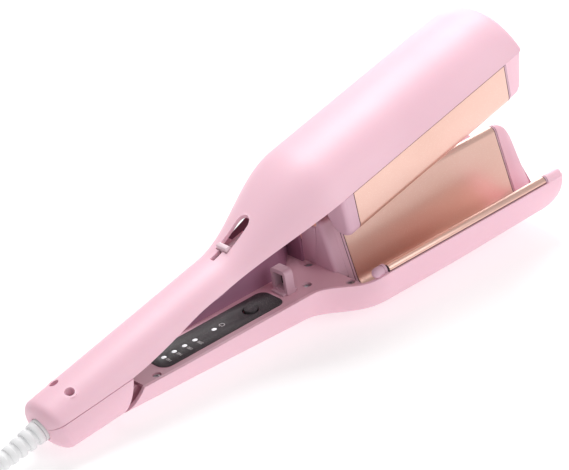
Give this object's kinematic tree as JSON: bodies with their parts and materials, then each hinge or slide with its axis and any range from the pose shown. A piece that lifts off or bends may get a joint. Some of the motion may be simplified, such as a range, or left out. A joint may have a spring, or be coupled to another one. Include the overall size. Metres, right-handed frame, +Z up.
{
  "type": "hair waver",
  "caption": "Handheld hair waver: hinged jaws with deep nested wave plates, slim handles, sliding lock, push button with indicator panel and swivelling mains cord.",
  "frame": {"origin": "centre of the tool's outline on the table, without the free cord: half way along X between the end of the strain relief and the jaw tips, on the symmetry plane, at table height", "axes": "+X along the tool from the cord end to the jaw tips, +Z up from the table, +Y to the left when looking along +X"},
  "size_m": [0.4699, 0.1186, 0.1314],
  "materials": {
    "pink_shell": "satin moulded plastic, pink",
    "inner_plastic": "dusty pink heat-proof plastic",
    "lock_plastic": "pale pink plastic",
    "rose_plate": "rose gold ceramic coating, satin",
    "heater_ceramic": "white ceramic",
    "sensor_body": "glazed ceramic sleeve",
    "screw_steel": "zinc-plated steel",
    "plain_steel": "pressed steel",
    "spring_steel": "spring steel wire",
    "bush_brass": "turned brass",
    "white_plastic": "white plastic",
    "white_flex": "soft white sheath",
    "pin_brass": "nickel-plated brass",
    "charcoal_panel": "fine textured charcoal",
    "lens_white": "milky lens",
    "board_green": "solder mask",
    "black_plastic": "black plastic"
  },
  "bodies": {
    "upper_arm": {"upper_shell": "pink_shell", "tail_cover": "pink_shell", "tail_screws": "screw_steel", "hinge_bracket": "plain_steel", "hinge_pin": "plain_steel", "pin_clip": "plain_steel", "return_spring": "spring_steel", "upper_inner_cover": "inner_plastic", "upper_cover_screws": "screw_steel", "upper_jaw_frame": "inner_plastic", "upper_heat_plate": "rose_plate", "upper_heaters": "heater_ceramic", "upper_sensor": "sensor_body", "lock_guide": "inner_plastic", "cord_clamp": "white_plastic", "cord_lead": "white_flex", "cord_coil": "white_flex", "cord_end": "white_flex", "plug_body": "white_plastic", "plug_pins": "pin_brass"},
    "lower_arm": {"lower_shell": "pink_shell", "hinge_arm": "inner_plastic", "hinge_bushes": "bush_brass", "lower_inner_cover": "inner_plastic", "lower_cover_screws": "screw_steel", "latch_catch": "inner_plastic", "lower_jaw_frame": "inner_plastic", "lower_heat_plate": "rose_plate", "lower_heater": "heater_ceramic", "heater_clamps": "plain_steel", "lower_sensor": "sensor_body", "control_panel": "charcoal_panel", "indicator_lenses": "lens_white", "circuit_board": "board_green", "key_switch": "black_plastic"},
    "cord_swivel": {"strain_relief": "white_flex"},
    "lock": {"lock_slider": "lock_plastic"},
    "button": {"button_cap": "black_plastic"}
  },
  "joints": [
    {"name": "jaw_hinge", "type": "hinge", "parent": "upper_arm", "child": "lower_arm", "pos_m": [-0.11848, 0, 0.0169], "axis": [0, -1, 0], "range_deg": [0, 12.8], "stiffness_Nm_per_rad": 0.9, "springref_deg": -34.38, "deforming": ["return_spring"]},
    {"name": "lock_slide", "type": "slide", "parent": "upper_arm", "child": "lock", "axis": [0.9655, 0, 0.2605], "range_m": [0, 0.006]},
    {"name": "button_press", "type": "slide", "parent": "lower_arm", "child": "button", "axis": [0.0401, 0, -0.9992], "range_m": [0, 0.0006], "stiffness_N_per_m": 400, "springref_m": -0.0006},
    {"name": "cord_swivel_turn", "type": "hinge", "parent": "upper_arm", "child": "cord_swivel", "pos_m": [-0.14517, 0, 0.01488], "axis": [0.9655, 0, 0.2605], "continuous": true}
  ]
}
